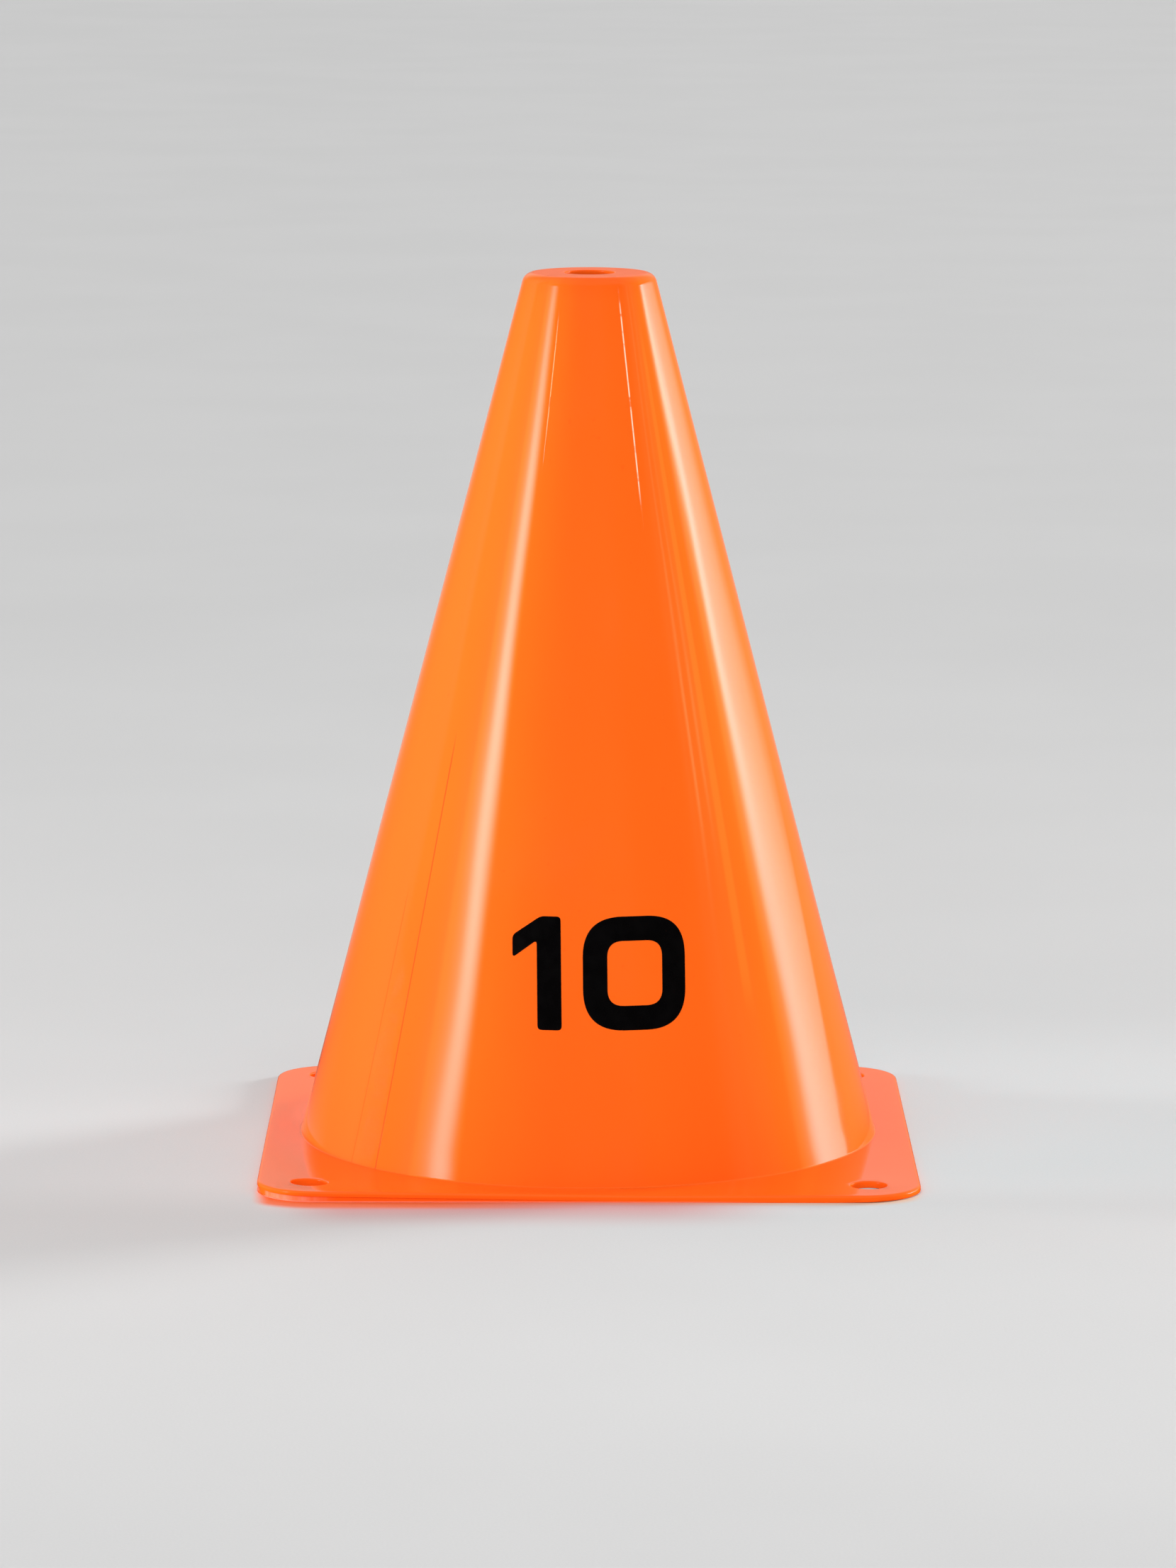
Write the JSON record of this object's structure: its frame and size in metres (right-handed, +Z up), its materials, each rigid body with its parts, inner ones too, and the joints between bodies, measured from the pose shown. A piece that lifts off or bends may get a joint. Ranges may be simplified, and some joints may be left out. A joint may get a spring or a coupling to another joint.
{
  "type": "training cone",
  "caption": "Thin hollow training cone with a flat crown and a round crown hole, seated in a thin square base plate with round corners and a peg hole in each corner.",
  "frame": {"origin": "on the floor, under the middle of the cone", "axes": "+Z up along the cone, -Y to the front, +X to the right seen from the front; the plate's sides lie along X and Y"},
  "size_m": [0.1704, 0.1704, 0.23],
  "materials": {
    "cone_plastic": "smooth high gloss, fluorescent orange, faint mould lines",
    "plate_plastic": "smooth high gloss, fluorescent orange"
  },
  "bodies": {
    "root": {"cone_body": "cone_plastic", "base_plate": "plate_plastic"}
  },
  "joints": []
}
